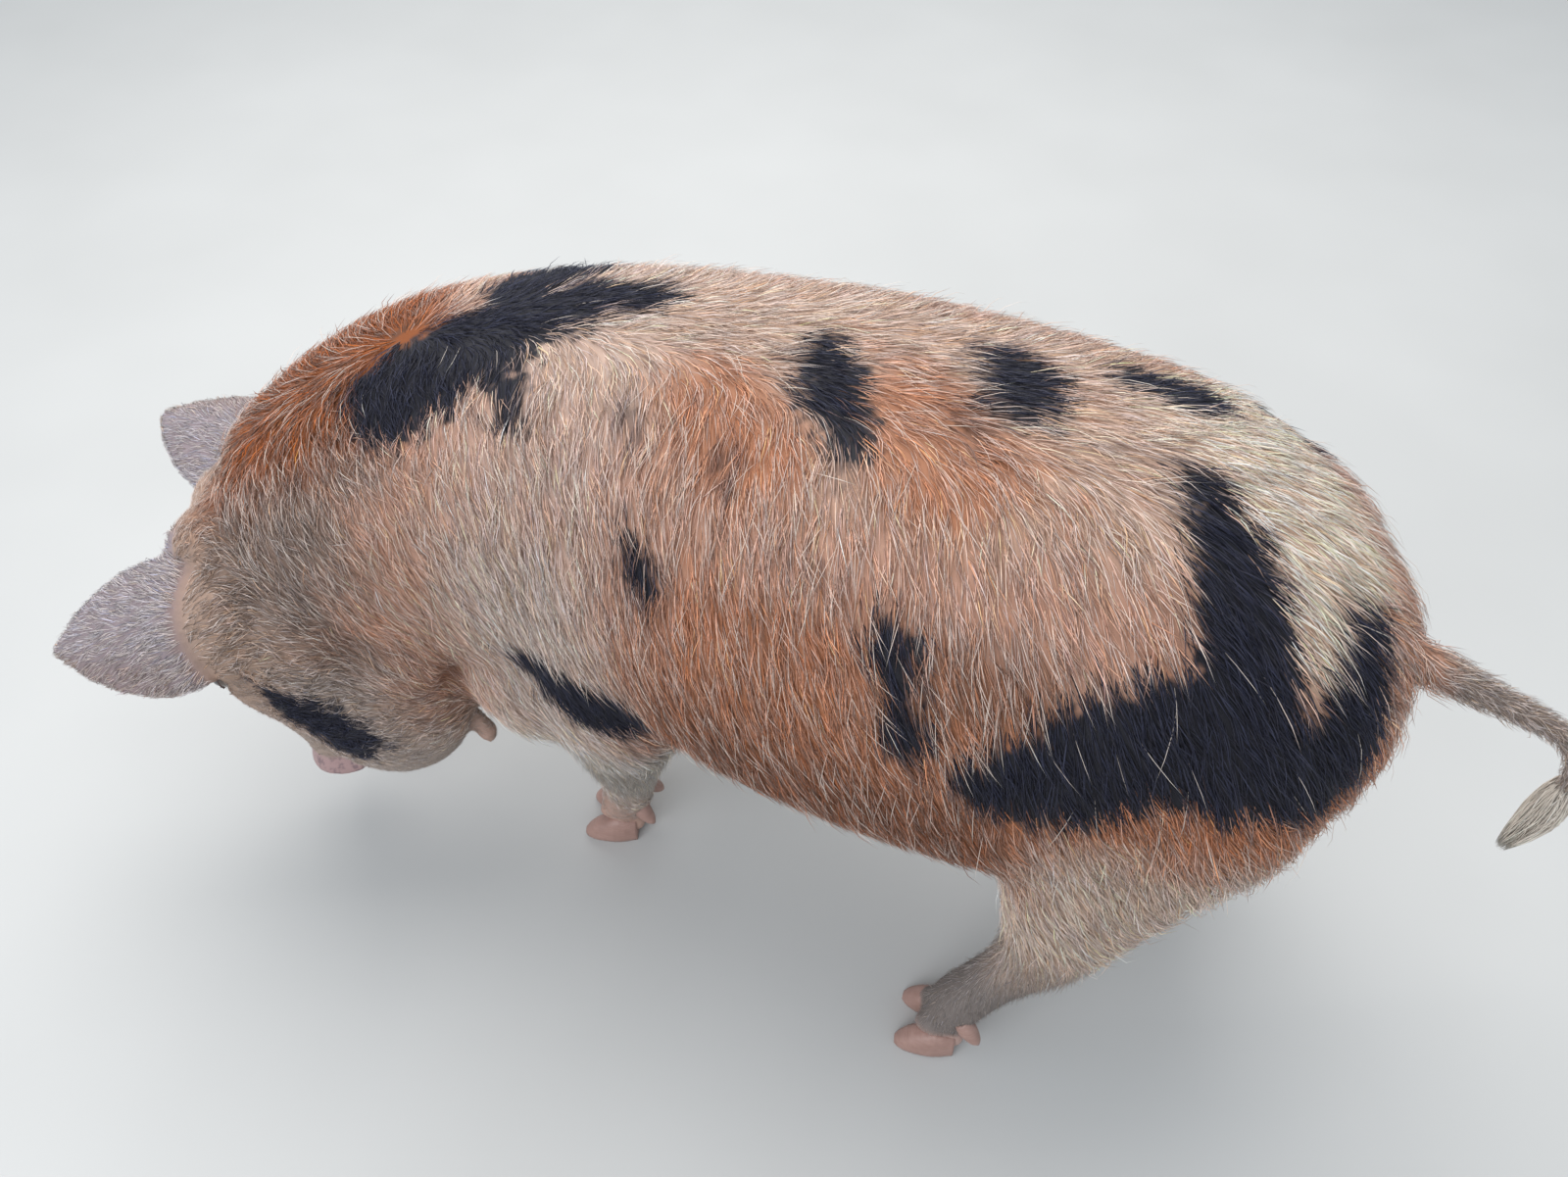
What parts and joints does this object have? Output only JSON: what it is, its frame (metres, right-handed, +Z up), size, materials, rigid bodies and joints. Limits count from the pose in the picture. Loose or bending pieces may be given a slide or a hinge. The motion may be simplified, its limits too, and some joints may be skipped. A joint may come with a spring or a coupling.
{
  "type": "kunekune pig",
  "caption": "Life-size kunekune pig standing on all fours with its head lowered to graze and turned a little to its left; bristly ginger coat with black patches.",
  "frame": {"origin": "on the floor under the middle of the whole pig", "axes": "+Z up, -X the way the body faces, -Y the pig's left side"},
  "size_m": [1.2186, 0.4884, 0.5957],
  "materials": {
    "body_coat": "bristly ginger-tan coat with black patches",
    "nape_coat": "bristly rufous to grey-brown coat",
    "head_coat": "short grey-brown coat with a black patch round the left eye",
    "leg_coat": "short pale coat",
    "tail_coat": "short brown coat",
    "switch_hair": "cream hair",
    "ear_coat": "grey-mauve skin with pale short hair",
    "snout_skin": "bare pink-grey skin",
    "wattle_skin": "thinly haired skin",
    "claw_horn": "pink horn",
    "eye": "wet dark brown"
  },
  "bodies": {
    "root": {"torso": "body_coat", "neck": "nape_coat", "head": "head_coat", "snout": "snout_skin", "tail": "tail_coat", "tail_switch": "switch_hair", "ear_left": "ear_coat", "eye_left": "eye", "wattle_left": "wattle_skin", "ear_right": "ear_coat", "eye_right": "eye", "wattle_right": "wattle_skin", "leg_fore_left": "leg_coat", "claw_fore_left_outer": "claw_horn", "dewclaw_fore_left_outer": "claw_horn", "claw_fore_left_inner": "claw_horn", "dewclaw_fore_left_inner": "claw_horn", "leg_fore_right": "leg_coat", "claw_fore_right_outer": "claw_horn", "dewclaw_fore_right_outer": "claw_horn", "claw_fore_right_inner": "claw_horn", "dewclaw_fore_right_inner": "claw_horn", "leg_hind_left": "leg_coat", "claw_hind_left_outer": "claw_horn", "dewclaw_hind_left_outer": "claw_horn", "claw_hind_left_inner": "claw_horn", "dewclaw_hind_left_inner": "claw_horn", "leg_hind_right": "leg_coat", "claw_hind_right_outer": "claw_horn", "dewclaw_hind_right_outer": "claw_horn", "claw_hind_right_inner": "claw_horn", "dewclaw_hind_right_inner": "claw_horn"}
  },
  "joints": []
}
